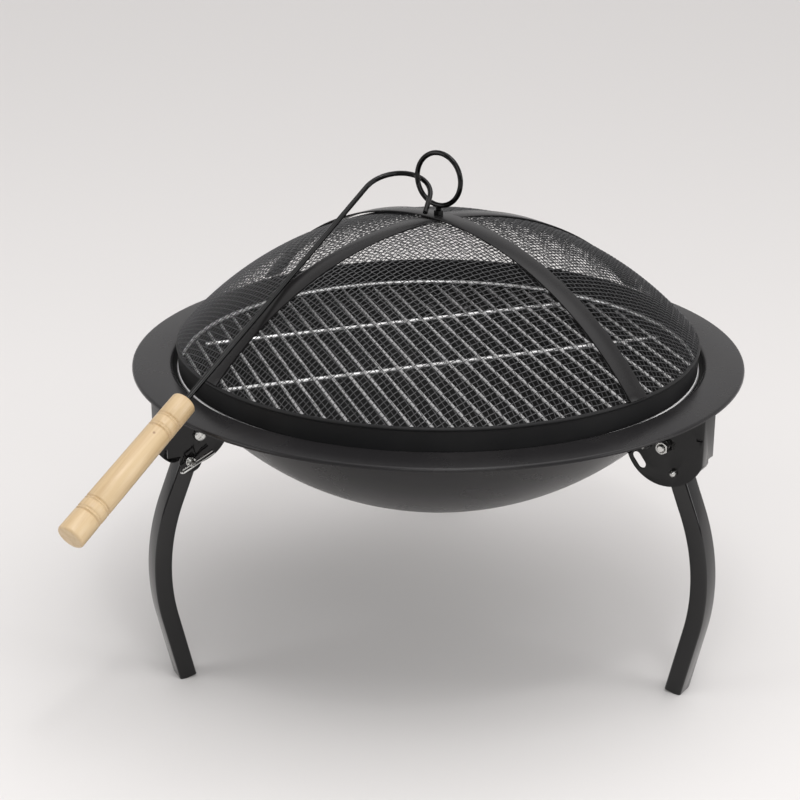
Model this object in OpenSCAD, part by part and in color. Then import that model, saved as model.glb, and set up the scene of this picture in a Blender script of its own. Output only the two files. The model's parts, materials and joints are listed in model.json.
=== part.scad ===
// Folding fire pit: a pressed bowl on three folding legs, a chromed cooking grid,
// a domed spark lid with a ring handle, and a hooked poker with a wooden grip.
// Millimetres, +Z up, front towards -Y. The origin is on the floor, on the bowl's axis.

/* [Bowl] */
// Outer diameter of the flange
flange_d = 540; // [520:2:600]
// Height of the flange's top face above the floor
flange_h = 264; // [250:1:300]
// Width of the flange, from its edge in to the bowl's mouth
flange_w = 32.5; // [31:0.5:34]
// Depth of the bowl, as a share of its mouth's diameter
bowl_share = 0.276; // [0.266:0.002:0.284]
// Thickness of the bowl's sheet
bowl_t = 1; // [0.8:0.1:1.6]
// Height of the turned-down edge of the flange
lip_h = 3; // [2:0.5:6]

/* [Brackets] */
// Direction of the right leg, from the front towards the right
first_leg_angle = 57.6; // [50:0.2:65]
// Thickness of the bracket's sheet
bracket_t = 1.5; // [1:0.1:2]
// Distance from the flange's edge in to the bracket's web
web_in = 5; // [3:0.5:8]
// Height of the web and the straight part of the cheeks
web_h = 43; // [38:1:46]
// Distance from the flange's edge in to the leg's pivot
pivot_in = 39; // [38:0.5:40]
// Distance from the flange's top face down to the leg's pivot
pivot_drop = 35.5; // [34:0.5:38]
// Radius of the large cheek about the pivot
large_lobe_r = 36; // [35:0.5:37]
// Radius of the small cheek about the pivot
small_lobe_r = 22; // [18:0.5:24]
// Distance from the pivot to the lock pin
lock_r = 24.2; // [22:0.1:25]
// Distance from the pivot to the middle of the slot beside the lock pin
slot_r = 28.5; // [27.5:0.1:29]
// Direction of the slot, from straight down inwards
slot_angle = 52; // [46:1:54]
// Overall length of the slot
slot_l = 15.5; // [12:0.5:16]
// Width of the slot
slot_w = 7.4; // [6.4:0.1:8]
// Distance of each bracket bolt from the leg's middle plane
bolt_side = 18.5; // [18:0.5:21]
// Distance from the flange's top face down to the bracket bolts
bolt_drop = 31; // [28:0.5:34]
// Width of each fixing tab beside its cheek
tab_w = 14; // [13:0.5:16]
// Height of the fixing tabs
tab_h = 18; // [15:0.5:20]

/* [Legs] */
// Width of the leg's tube, along the flange
leg_w = 20; // [18:0.5:20.5]
// Thickness of the leg's tube, in the direction of folding
leg_t = 15.5; // [14:0.5:17]
// Wall of the leg's tube
leg_wall = 1.2; // [1:0.1:2]
// Corner radius of the leg's tube
leg_corner = 2; // [1:0.5:3]
// Straight run from the pivot to the start of the bend
leg_shoulder = 62.5; // [58:0.5:68]
// Radius of the bend, to the tube's centre line
leg_bend_r = 183.5; // [170:0.5:200]
// Lean of the leg's straight top, from upright
leg_top_lean = 22; // [20:0.5:24]
// Lean of the leg's straight foot, from upright
leg_foot_lean = 12.5; // [10:0.5:15]
// How far the tube runs past the pivot
leg_head = 8; // [6:0.5:9]
// Depth of the flat ground under the foot's outer edge
foot_flat = 1.2; // [0.6:0.1:2]

/* [Screws and pins] */
// Diameter of the pivot screws
pivot_d = 6; // [5:0.1:6.2]
// Diameter of the pivot screws' heads
pivot_head_d = 10.5; // [9:0.5:12]
// Diameter of the lock pins
lock_d = 6; // [5:0.1:6.2]
// Diameter of the bracket bolts
bolt_d = 6; // [5:0.1:6.4]
// Diameter of the bracket bolts' round heads
bolt_head_d = 13; // [11:0.5:15]
// Width across the flats of the nuts on pivot screws and bracket bolts
nut_af = 10; // [9:0.1:11]
// Height of those nuts
nut_h = 5; // [4:0.1:6]
// Thickness of the spring washers
spring_washer_t = 1.6; // [1:0.1:2]
// Wire of the lock pins' clips
clip_d = 1.8; // [1.4:0.1:2]
// Length of the clips from the loop's middle to the ends of the prongs
clip_l = 30; // [24:1:32]

/* [Grid] */
// Wire of the grid's ring
grid_ring_d = 4; // [3.8:0.1:6]
// Distance from the bowl's mouth in to the ring's centre line
grid_in = 8.2; // [7:0.1:9]
// Wire of the grid's rods
grid_rod_d = 2.8; // [2.4:0.1:3]
// Spacing of the rods
grid_pitch = 15.6; // [14:0.1:20]
// Wire of the cross bars
grid_bar_d = 4; // [3:0.1:5]
// Distance of the second cross bar behind the middle one
grid_bar_step = 124; // [100:1:130]
// Turn of the cross bars in the bowl
grid_turn = 21; // [0:1:45]
// Turn of the rods in the bowl
rod_turn = 18.5; // [0:0.5:45]

/* [Lid] */
// Height of the lid's band
band_h = 21.5; // [14:0.5:24]
// Thickness of the band's sheet
band_t = 1.2; // [0.8:0.1:1.6]
// Thickness of the band's wired edge
band_edge_d = 3.6; // [3:0.1:5]
// Rise of the mesh dome above the band
dome_rise = 104; // [95:1:112]
// Thickness of the woven mesh
mesh_t = 0.8; // [0.6:0.1:1.4]
// Spacing of the openings that stand for the mesh's own
mesh_pitch = 38; // [38:1:46]
// Width of the ribs between these openings
mesh_rib = 8; // [6:0.5:10]
// Direction of the ribs
mesh_turn = 34; // [0:1:45]
// Width of the straps
strap_w = 20; // [16:0.5:24]
// Thickness of the straps
strap_t = 1.5; // [1:0.1:2]
// Direction of the upper strap's front end, from the front towards the right
strap_upper_angle = 44; // [40:1:48]
// Direction of the lower strap's front end, from the front towards the right
strap_lower_angle = -54; // [-58:1:-50]
// Diameter of the ring handle, to the wire's centre line
ring_d = 46; // [44:0.5:48]
// Wire of the ring handle and its stem
ring_wire_d = 4.5; // [4:0.1:5]
// Turn of the ring about its stem
ring_turn = -36; // [-40:1:-32]
// Width across the flats of the ring's nuts
ring_nut_af = 8; // [7:0.1:9]
// Height of the ring's nuts
ring_nut_h = 4; // [3:0.1:5]

/* [Poker] */
// Diameter of the poker's rod
rod_d = 4.5; // [4:0.1:5]
// Straight length of the rod from its hook to the grip
rod_l = 276; // [260:1:300]
// Radius of the hook, to the rod's centre line
hook_r = 30.4; // [30:0.1:31]
// How far the hook turns
hook_angle = 161.5; // [155:0.5:165]
// Straight tip after the hook
hook_tip = 19; // [12:0.5:20]
// Diameter of the grip at its butt
grip_d = 23.4; // [22:0.2:26]
// Diameter of the grip at the rod
grip_neck_d = 21.4; // [20:0.2:24]
// Length of the grip
grip_l = 150; // [140:1:165]
// How deep the rod goes into the grip
grip_bore_l = 70; // [40:1:100]
// Depth of the turned grooves in the grip
groove_depth = 1.1; // [0.5:0.1:1.5]

/* [Clearances] */
// Gap between resting pieces that lift apart
rest_gap = 0.3; // [0.2:0.05:0.5]
// Gap between pieces that are fastened or welded together
seat_gap = 0.05; // [0.02:0.01:0.1]
// Radial clearance of a pin or screw in its hole
pin_gap = 0.08; // [0.05:0.01:0.1]
// Clearance at each side of the leg between the cheeks
leg_gap = 0.4; // [0.3:0.05:0.6]

/* [Hidden] */
$fn = 96;

// Leg directions, from the front towards the right
right_angle = first_leg_angle;
left_angle = first_leg_angle - 120;
rear_angle = first_leg_angle + 120;
leg_angles = [left_angle, right_angle, rear_angle];

// Bowl: a spherical dish whose outside passes through the mouth and the bottom
flange_r = flange_d / 2;
mouth_d = flange_d - 2 * flange_w;
mouth_r = mouth_d / 2;
bowl_depth = mouth_d * bowl_share;
bowl_r = (mouth_r * mouth_r + bowl_depth * bowl_depth) / (2 * bowl_depth);
bowl_cz = flange_h - bowl_depth + bowl_r;

// Brackets, in the leg's own plane: x outwards from the bowl's axis, z up
cheek_in = leg_w / 2 + leg_gap;
cheek_out = cheek_in + bracket_t;
web_r = flange_r - web_in;
web_top = flange_h - bowl_t - seat_gap;
pivot_r = flange_r - pivot_in;
pivot_z = flange_h - pivot_drop;
lock_x = pivot_r + lock_r * sin(leg_top_lean);
lock_z = pivot_z - lock_r * cos(leg_top_lean);
slot_x = pivot_r - slot_r * sin(slot_angle);
slot_z = pivot_z - slot_r * cos(slot_angle);
lock_boss_r = 10;
step_w = 5;
step_h = 8;
web_bend = 1;
channel_h = web_h + large_lobe_r;
nick_d = 2.4;
nick_drop = 23;
bolt_r = sqrt(pow(bowl_r, 2) - pow(bowl_cz - flange_h + bolt_drop, 2));
bolt_turn = asin(bolt_side / bolt_r);
bolt_dip = asin((bowl_cz - flange_h + bolt_drop) / bowl_r);
bolt_head_h = 3;
bolt_head_sag = bowl_r - bowl_t - sqrt(pow(bowl_r - bowl_t, 2) - pow(bolt_head_d / 2, 2)) + seat_gap;
bolt_end = 2;

// Legs: straight top, one bend, straight foot whose outer corner reaches the floor
bend_x = pivot_r + leg_shoulder * sin(leg_top_lean) - leg_bend_r * cos(leg_top_lean);
bend_z = pivot_z - leg_shoulder * cos(leg_top_lean) - leg_bend_r * sin(leg_top_lean);
bend_end_z = bend_z - leg_bend_r * sin(leg_foot_lean);
leg_foot_l = (bend_end_z - leg_t / 2 * sin(leg_foot_lean) + foot_flat) / cos(leg_foot_lean);
foot_wall = 3;
leg_lap = 0.5;

// Pivot screws, lock pins and clips, along the leg's own y
pivot_head_h = 3.2;
cross_slot_w = 1.6;
cross_slot_l = 5.5;
cross_slot_depth = 1.6;
lock_tip = 2.4;
lock_collar_d = lock_d + 3;
lock_collar_h = 2.2;
lock_neck_d = lock_d - 1;
lock_neck_l = 6;
clip_y = cheek_out + seat_gap + lock_collar_h + lock_neck_l / 2;
clip_rise_left = 26;
clip_rise_right = 68;
clip_rise_rear = 26;
clip_gap = lock_neck_l / 2 + rest_gap + clip_d;
clip_tail = clip_l / 3;

// Grid: the ring lies on the bowl's wall, the rods hang under the ring, the bars under the rods
grid_r = mouth_r - grid_in;
grid_seat_r = bowl_r - bowl_t - grid_ring_d / 2 - rest_gap;
grid_z = bowl_cz - sqrt(grid_seat_r * grid_seat_r - grid_r * grid_r);
rod_z = grid_z - grid_ring_d / 2 - grid_rod_d / 2 - seat_gap;
bar_z = rod_z - grid_rod_d / 2 - grid_bar_d / 2 - seat_gap;
rod_reach = grid_r - grid_ring_d / 4;
rod_pairs = floor((rod_reach - grid_rod_d) / grid_pitch + 0.5);
bar_reach = grid_r - grid_ring_d - grid_bar_d;

// Lid: the band stands on the grid's ring, the dome stands on the band's wired edge
band_z = grid_z + grid_ring_d / 2 + rest_gap;
band_top = band_z + band_h;
rim_z = band_top + seat_gap;
dome_r = (grid_r * grid_r + dome_rise * dome_rise) / (2 * dome_rise);
dome_cz = rim_z + dome_rise - dome_r;
mesh_out_r = dome_r + mesh_t / 2;
mesh_rows = floor(grid_r / mesh_pitch);
mesh_hole = mesh_pitch - mesh_rib;
mesh_clear = grid_r - mesh_rib;
lower_in_r = mesh_out_r + seat_gap;
lower_out_r = lower_in_r + strap_t;
upper_in_r = lower_out_r + seat_gap;
upper_out_r = upper_in_r + strap_t;
stem_hole_d = ring_wire_d + 0.4;
strap_top_z = dome_cz + upper_out_r;
mesh_under_z = dome_cz + dome_r - mesh_t / 2;
ring_washer_t = 1;
ring_washer_d = 12;
top_nut_z = strap_top_z + seat_gap;
washer_sag = dome_r - mesh_t / 2 - sqrt(pow(dome_r - mesh_t / 2, 2) - pow(ring_washer_d / 2, 2));
washer_z = mesh_under_z - washer_sag - seat_gap - ring_washer_t;
bottom_nut_z = washer_z - seat_gap - ring_nut_h;
stem_bottom_z = bottom_nut_z - 1.5;
stem_show = 8.4;
ring_z = strap_top_z + stem_show + ring_d / 2;

// Poker: its bend starts beside the ring, and the rod leans on the lower strap's surface
bend_from_ring = [-63.5, 16.4, -11.9];
poker_heading = 56.5;
poker_roll = 188.2;
bend_at = [bend_from_ring[0], bend_from_ring[1], ring_z + bend_from_ring[2]];
bend_along = bend_at[0] * cos(poker_heading) + bend_at[1] * sin(poker_heading);
bend_aside = bend_at[1] * cos(poker_heading) - bend_at[0] * sin(poker_heading);
lean_r = lower_out_r + rod_d / 2 + rest_gap;
lean_section_r = sqrt(lean_r * lean_r - bend_aside * bend_aside);
bend_height = bend_at[2] - dome_cz;
bend_reach = sqrt(bend_along * bend_along + bend_height * bend_height);
poker_slope = atan2(bend_height, bend_along) - asin(lean_section_r / bend_reach);
// Tube and wire draw a little thinner in a bend, and the bend laps into the straight ends
bend_thinning = 0.04;
bend_lap = 1;
grip_edge = 2.2;
groove_w = 3.2;
groove_places = [23, 34, grip_l - 34, grip_l - 23];

black_coat = [0.10, 0.10, 0.11];
black_gloss = [0.05, 0.05, 0.05];
zinc = [0.78, 0.78, 0.76];
chrome = [0.85, 0.86, 0.88];
beech = [0.87, 0.74, 0.54];

// Turns what is drawn in a leg's own plane to that leg's direction
module at_leg(angle) {
    rotate([0, 0, angle - 90]) children();
}

// Stands a flat outline, drawn as x outwards and y up, on edge from side y to y + thick
module upright(y, thick) {
    translate([0, y + thick, 0]) rotate([90, 0, 0]) linear_extrude(thick) children();
}

// A round bar along the leg's own y, from side y0 to side y1
module cross_pin(x, z, d, y0, y1) {
    translate([x, y0, z]) rotate([-90, 0, 0]) cylinder(d = d, h = y1 - y0);
}

// Carries its children to a bracket bolt, with z pointing out of the bowl's wall
module at_bolt(side) {
    rotate([0, 0, side * bolt_turn])
        translate([0, 0, bowl_cz])
            rotate([0, 90 + bolt_dip, 0])
                translate([0, 0, bowl_r])
                    children();
}

module each_bolt() {
    for (angle = leg_angles)
        for (side = [-1, 1])
            at_leg(angle) at_bolt(side) children();
}

module hex_nut(af, h, bore) {
    difference() {
        cylinder(d = af / cos(30), h = h, $fn = 6);
        translate([0, 0, -1]) cylinder(d = bore, h = h + 2);
    }
}

module bowl_outline() {
    difference() {
        union() {
            intersection() {
                translate([0, bowl_cz]) circle(r = bowl_r, $fn = 240);
                translate([0, flange_h - bowl_depth - 1]) square([mouth_r, bowl_depth + 1]);
            }
            translate([mouth_r - 5, flange_h - bowl_t]) square([flange_r - mouth_r + 5, bowl_t]);
            translate([flange_r - bowl_t, flange_h - lip_h]) square([bowl_t, lip_h]);
        }
        translate([0, bowl_cz]) circle(r = bowl_r - bowl_t, $fn = 240);
    }
}

module fire_bowl() {
    color(black_coat) difference() {
        rotate_extrude($fn = 180) bowl_outline();
        each_bolt() translate([0, 0, -10]) cylinder(d = bolt_d + 2 * pin_gap, h = 20);
    }
}

module web_side() {
    translate([pivot_r, web_top - web_h]) square([web_r - pivot_r, web_h]);
    translate([pivot_r, web_top - web_h - step_h]) square([web_r - step_w - pivot_r, step_h + 1]);
    translate([pivot_r - small_lobe_r, pivot_z]) square([small_lobe_r + 1, web_top - pivot_z]);
}

module slot_outline() {
    half = (slot_l - slot_w) / 2;
    translate([slot_x, slot_z]) rotate(-slot_angle) {
        square([2 * half, slot_w], center = true);
        for (end = [-half, half]) translate([end, 0]) circle(d = slot_w);
    }
}

module pin_holes() {
    translate([pivot_r, pivot_z]) circle(d = pivot_d + 2 * pin_gap);
    translate([lock_x, lock_z]) circle(d = lock_d + 2 * pin_gap);
}

module large_cheek() {
    difference() {
        union() {
            web_side();
            translate([pivot_r, pivot_z]) circle(r = large_lobe_r);
        }
        pin_holes();
        slot_outline();
    }
}

module small_cheek() {
    difference() {
        union() {
            web_side();
            translate([pivot_r, pivot_z]) circle(r = small_lobe_r);
            translate([lock_x, lock_z]) circle(r = lock_boss_r);
        }
        pin_holes();
    }
}

module tab(side) {
    side_y = side > 0 ? cheek_in : -cheek_out - tab_w;
    tab_z = flange_h - bolt_drop - tab_h / 2;
    difference() {
        intersection() {
            translate([0, 0, bowl_cz]) sphere(r = bowl_r + seat_gap + bracket_t, $fn = 180);
            translate([0, side_y, tab_z]) cube([flange_r, tab_w + bracket_t, tab_h]);
        }
        at_bolt(side) translate([0, 0, -10]) cylinder(d = bolt_d + 2 * pin_gap, h = 20);
    }
}

// The bent strip seen from above: the web, two cheeks and the rounded bends between them
module channel_outline(reach, half, bend) {
    translate([0, -half]) square([reach - bend, 2 * half]);
    translate([0, bend - half]) square([reach, 2 * (half - bend)]);
    for (side = [-1, 1])
        translate([reach - bend, side * (half - bend)]) circle(r = bend, $fn = 32);
}

module channel() {
    translate([0, 0, web_top - channel_h]) linear_extrude(channel_h) difference() {
        channel_outline(web_r, cheek_out, web_bend + bracket_t);
        channel_outline(web_r - bracket_t, cheek_in, web_bend);
    }
}

module bracket(angle) {
    color(black_coat) at_leg(angle) difference() {
        union() {
            intersection() {
                channel();
                upright(-cheek_out - 1, cheek_out + 2) large_cheek();
            }
            intersection() {
                channel();
                upright(-1, cheek_out + 2) small_cheek();
            }
            for (side = [-1, 1]) tab(side);
        }
        translate([0, 0, bowl_cz]) sphere(r = bowl_r + seat_gap, $fn = 180);
        for (side = [-1, 1]) translate([web_r - 6, side * cheek_out, web_top - nick_drop])
            rotate([0, 90, 0]) cylinder(d = nick_d, h = 12, $fn = 32);
    }
}

module bracket_left() bracket(left_angle);
module bracket_right() bracket(right_angle);
module bracket_rear() bracket(rear_angle);

module bracket_bolts() {
    color(black_coat) each_bolt() {
        translate([0, 0, -bowl_t - seat_gap - bolt_head_sag]) mirror([0, 0, 1])
            cylinder(d1 = bolt_head_d, d2 = bolt_head_d * 0.6, h = bolt_head_h);
        translate([0, 0, -bowl_t - seat_gap - bolt_head_sag - 1])
            cylinder(d = bolt_d, h = bowl_t + bracket_t + nut_h + bolt_end + 1);
    }
}

module bracket_nuts() {
    color(zinc) each_bolt()
        translate([0, 0, 2 * seat_gap + bracket_t]) hex_nut(nut_af, nut_h, bolt_d + 2 * pin_gap);
}

module leg_section(inset) {
    w = leg_w - 2 * inset;
    t = leg_t - 2 * inset;
    r = max(leg_corner - inset, 0.4);
    square([t - 2 * r, w], center = true);
    square([t, w - 2 * r], center = true);
    for (sx = [-1, 1], sy = [-1, 1])
        translate([sx * (t / 2 - r), sy * (w / 2 - r)]) circle(r = r, $fn = 32);
}

// The tube's path with the section inset by the wall, ending short of the foot by stop
module leg_sweep(inset, head, stop) {
    translate([bend_x, 0, bend_z]) rotate([90, 0, 0]) {
        rotate([0, 0, -leg_foot_lean - leg_lap])
            rotate_extrude(angle = leg_foot_lean + leg_top_lean + 2 * leg_lap, $fn = 360)
                translate([leg_bend_r, 0]) leg_section(inset + bend_thinning / 2);
        rotate([0, 0, leg_top_lean]) translate([leg_bend_r, 0, 0]) rotate([-90, 0, 0])
            linear_extrude(leg_shoulder + head) leg_section(inset);
        rotate([0, 0, -leg_foot_lean]) translate([leg_bend_r, 0, 0]) rotate([90, 0, 0])
            linear_extrude(leg_foot_l - stop) leg_section(inset);
    }
}

// Sector of a ring about the pivot that lets the lock pin leave the tube as the leg folds
module lock_notch() {
    notch_r = lock_d / 2 + pin_gap;
    sweep = 40;
    translate([pivot_r, pivot_z]) rotate(leg_top_lean - 90) intersection() {
        difference() {
            circle(r = lock_r + notch_r);
            circle(r = lock_r - notch_r);
        }
        polygon([
            [0, 0],
            [2 * lock_r, 0],
            [2 * lock_r, 2 * lock_r * tan(sweep)]
        ]);
    }
    translate([lock_x, lock_z]) circle(r = notch_r);
}

module leg(angle) {
    color(black_coat) at_leg(angle) difference() {
        leg_sweep(0, leg_head, 0);
        leg_sweep(leg_wall, leg_head + 1, foot_wall);
        cross_pin(pivot_r, pivot_z, pivot_d + 2 * pin_gap, -leg_w, leg_w);
        upright(-leg_w, 2 * leg_w) lock_notch();
        translate([0, -leg_w, -leg_w]) cube([2 * flange_r, 2 * leg_w, leg_w]);
    }
}

module leg_left() leg(left_angle);
module leg_right() leg(right_angle);
module leg_rear() leg(rear_angle);

module each_leg() {
    for (angle = leg_angles) at_leg(angle) children();
}

module pivot_bolts() {
    head_y = cheek_out + seat_gap;
    end_y = -cheek_out - 2 * seat_gap - spring_washer_t - nut_h - bolt_end;
    color(zinc) each_leg() difference() {
        union() {
            cross_pin(pivot_r, pivot_z, pivot_d, end_y, head_y + 1);
            cross_pin(pivot_r, pivot_z, pivot_head_d, head_y, head_y + pivot_head_h);
        }
        translate([pivot_r, head_y + pivot_head_h, pivot_z]) for (turn = [0, 90]) rotate([0, turn + 45, 0])
            cube([cross_slot_l, 2 * cross_slot_depth, cross_slot_w], center = true);
    }
}

module pivot_washers() {
    outer_y = -cheek_out - seat_gap - spring_washer_t;
    color(zinc) each_leg() difference() {
        cross_pin(pivot_r, pivot_z, pivot_head_d, outer_y, outer_y + spring_washer_t);
        cross_pin(pivot_r, pivot_z, pivot_d + 2 * pin_gap, outer_y - 1, 0);
    }
}

module pivot_nuts() {
    nut_y = -cheek_out - 2 * seat_gap - spring_washer_t - nut_h;
    color(zinc) each_leg() translate([pivot_r, nut_y, pivot_z]) rotate([-90, 0, 0])
        hex_nut(nut_af, nut_h, pivot_d + 2 * pin_gap);
}

module lock_pin(angle, rise) {
    collar_y = cheek_out + seat_gap;
    neck_y = collar_y + lock_collar_h;
    color(zinc) at_leg(angle) difference() {
        union() {
            cross_pin(lock_x, lock_z, lock_d, -cheek_out - lock_tip, collar_y + 1);
            translate([lock_x, -cheek_out - lock_tip, lock_z]) rotate([90, 0, 0])
                cylinder(d1 = lock_d, d2 = lock_d * 0.5, h = lock_d / 4);
            cross_pin(lock_x, lock_z, lock_collar_d, collar_y, neck_y);
            cross_pin(lock_x, lock_z, lock_neck_d, neck_y - 1, neck_y + lock_neck_l);
        }
        translate([lock_x, clip_y, lock_z]) rotate([0, -90 + rise, 0])
            cylinder(d = clip_d + 2 * pin_gap, h = 4 * lock_d, center = true);
    }
}

module lock_pin_left() lock_pin(left_angle, clip_rise_left);
module lock_pin_right() lock_pin(right_angle, clip_rise_right);
module lock_pin_rear() lock_pin(rear_angle, clip_rise_rear);

// Two prongs and a loop: one prong goes through the pin's neck, the other passes over its end
module pin_clip(angle, rise) {
    color(zinc) at_leg(angle) translate([lock_x, clip_y, lock_z]) rotate([0, rise, 0]) {
        for (y = [0, clip_gap])
            translate([clip_tail, y, 0]) rotate([0, -90, 0]) cylinder(d = clip_d, h = clip_l, $fn = 32);
        translate([clip_tail, clip_gap / 2, 0]) rotate([0, 0, -90])
            rotate_extrude(angle = 180) translate([clip_gap / 2, 0]) circle(d = clip_d, $fn = 32);
    }
}

module pin_clip_left() pin_clip(left_angle, clip_rise_left);
module pin_clip_right() pin_clip(right_angle, clip_rise_right);
module pin_clip_rear() pin_clip(rear_angle, clip_rise_rear);

module grid_ring() {
    color(chrome) rotate_extrude($fn = 180) translate([grid_r, grid_z]) circle(d = grid_ring_d, $fn = 32);
}

// A wire of the grid that lies along its own x, at distance offset from the middle
module grid_wire(offset, d, z, reach) {
    half = sqrt(reach * reach - pow(abs(offset) + d / 2, 2));
    translate([-half, offset, z]) rotate([0, 90, 0]) cylinder(d = d, h = 2 * half, $fn = 32);
}

module grid_rods() {
    color(chrome) rotate([0, 0, rod_turn + 90])
        for (i = [1 : rod_pairs], side = [-1, 1])
            grid_wire(side * (i - 0.5) * grid_pitch, grid_rod_d, rod_z, rod_reach);
}

module grid_bars() {
    color(chrome) rotate([0, 0, grid_turn])
        for (offset = [0, grid_bar_step])
            grid_wire(offset, grid_bar_d, bar_z, bar_reach);
}

module lid_band() {
    edge_z = band_top - band_edge_d / 2;
    color(black_coat) rotate_extrude($fn = 180) {
        translate([grid_r - band_t / 2, band_z]) square([band_t, edge_z - band_z]);
        translate([grid_r, edge_z]) circle(d = band_edge_d, $fn = 32);
    }
}

// The part of a spherical shell that stands above the lid's band
module dome_shell(inner, outer) {
    intersection() {
        difference() {
            translate([0, 0, dome_cz]) sphere(r = outer, $fn = 180);
            translate([0, 0, dome_cz]) sphere(r = inner, $fn = 180);
        }
        translate([-flange_r, -flange_r, rim_z]) cube([flange_d, flange_d, 2 * dome_rise]);
    }
}

module stem_hole() {
    translate([0, 0, rim_z]) cylinder(d = stem_hole_d, h = 2 * dome_rise);
}

// Upright square holes on a plain grid; those that would reach the dome's rim are left out
module mesh_openings() {
    for (i = [-mesh_rows : mesh_rows - 1], j = [-mesh_rows : mesh_rows - 1]) {
        x = (i + 0.5) * mesh_pitch;
        y = (j + 0.5) * mesh_pitch;
        if (norm([abs(x) + mesh_hole / 2, abs(y) + mesh_hole / 2]) < mesh_clear)
            translate([x - mesh_hole / 2, y - mesh_hole / 2, rim_z])
                cube([mesh_hole, mesh_hole, 2 * dome_rise]);
    }
}

module lid_mesh() {
    color(black_coat) difference() {
        dome_shell(dome_r - mesh_t / 2, mesh_out_r);
        stem_hole();
        rotate([0, 0, mesh_turn]) mesh_openings();
    }
}

module strap(angle, inner) {
    color(black_coat) difference() {
        intersection() {
            dome_shell(inner, inner + strap_t);
            rotate([0, 0, angle - 90]) translate([-flange_r, -strap_w / 2, 0])
                cube([flange_d, strap_w, 4 * flange_h]);
        }
        stem_hole();
    }
}

module strap_lower() strap(strap_lower_angle, lower_in_r);
module strap_upper() strap(strap_upper_angle, upper_in_r);

module ring_handle() {
    color(black_gloss) {
        translate([0, 0, ring_z]) rotate([90, 0, ring_turn])
            rotate_extrude() translate([ring_d / 2, 0]) circle(d = ring_wire_d, $fn = 48);
        translate([0, 0, stem_bottom_z])
            cylinder(d = ring_wire_d, h = ring_z - ring_d / 2 - stem_bottom_z);
    }
}

module ring_top_nut() {
    color(black_gloss) translate([0, 0, top_nut_z])
        hex_nut(ring_nut_af, ring_nut_h, ring_wire_d + 2 * pin_gap);
}

module ring_washer() {
    color(zinc) translate([0, 0, washer_z]) difference() {
        cylinder(d = ring_washer_d, h = ring_washer_t);
        translate([0, 0, -1]) cylinder(d = ring_wire_d + 2 * pin_gap, h = ring_washer_t + 2);
    }
}

module ring_bottom_nut() {
    color(zinc) translate([0, 0, bottom_nut_z])
        hex_nut(ring_nut_af, ring_nut_h, ring_wire_d + 2 * pin_gap);
}

// The poker's own frame: x along the rod towards the hook, y to the side that the hook turns to
module at_poker() {
    translate(bend_at) rotate([poker_roll, -poker_slope, poker_heading]) children();
}

module poker_rod() {
    color(black_gloss) at_poker() {
        translate([-rod_l - grip_bore_l, 0, 0]) rotate([0, 90, 0])
            cylinder(d = rod_d, h = rod_l + grip_bore_l);
        translate([0, hook_r, 0]) {
            rotate([0, 0, -90 - bend_lap]) rotate_extrude(angle = hook_angle + 2 * bend_lap)
                translate([hook_r, 0]) circle(d = rod_d - bend_thinning, $fn = 48);
            rotate([0, 0, hook_angle - 90]) translate([hook_r, 0, 0]) rotate([-90, 0, 0])
                cylinder(d = rod_d, h = hook_tip);
        }
    }
}

module grip_outline() {
    butt_r = grip_d / 2;
    neck_r = grip_neck_d / 2;
    difference() {
        union() {
            polygon([
                [0, 0], [butt_r - grip_edge, 0], [butt_r, grip_edge],
                [neck_r, grip_l - grip_edge], [neck_r - grip_edge, grip_l], [0, grip_l]
            ]);
            translate([butt_r - grip_edge, grip_edge]) circle(r = grip_edge, $fn = 48);
            translate([neck_r - grip_edge, grip_l - grip_edge]) circle(r = grip_edge, $fn = 48);
        }
        for (place = groove_places)
            translate([butt_r + (neck_r - butt_r) * place / grip_l + groove_w / 2 - groove_depth, place])
                circle(d = groove_w, $fn = 32);
        translate([0, grip_l - grip_bore_l - seat_gap])
            square([rod_d / 2 + pin_gap, grip_bore_l + 1]);
    }
}

module poker_grip() {
    color(beech) at_poker() translate([-rod_l - grip_l, 0, 0]) rotate([0, 90, 0])
        rotate_extrude() grip_outline();
}

fire_bowl();
bracket_left();
bracket_right();
bracket_rear();
bracket_bolts();
bracket_nuts();
leg_left();
leg_right();
leg_rear();
pivot_bolts();
pivot_washers();
pivot_nuts();
lock_pin_left();
lock_pin_right();
lock_pin_rear();
pin_clip_left();
pin_clip_right();
pin_clip_rear();
grid_ring();
grid_rods();
grid_bars();
lid_band();
lid_mesh();
strap_lower();
strap_upper();
ring_handle();
ring_top_nut();
ring_washer();
ring_bottom_nut();
poker_rod();
poker_grip();
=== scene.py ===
"""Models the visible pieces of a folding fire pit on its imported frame, and sets its studio."""

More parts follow.
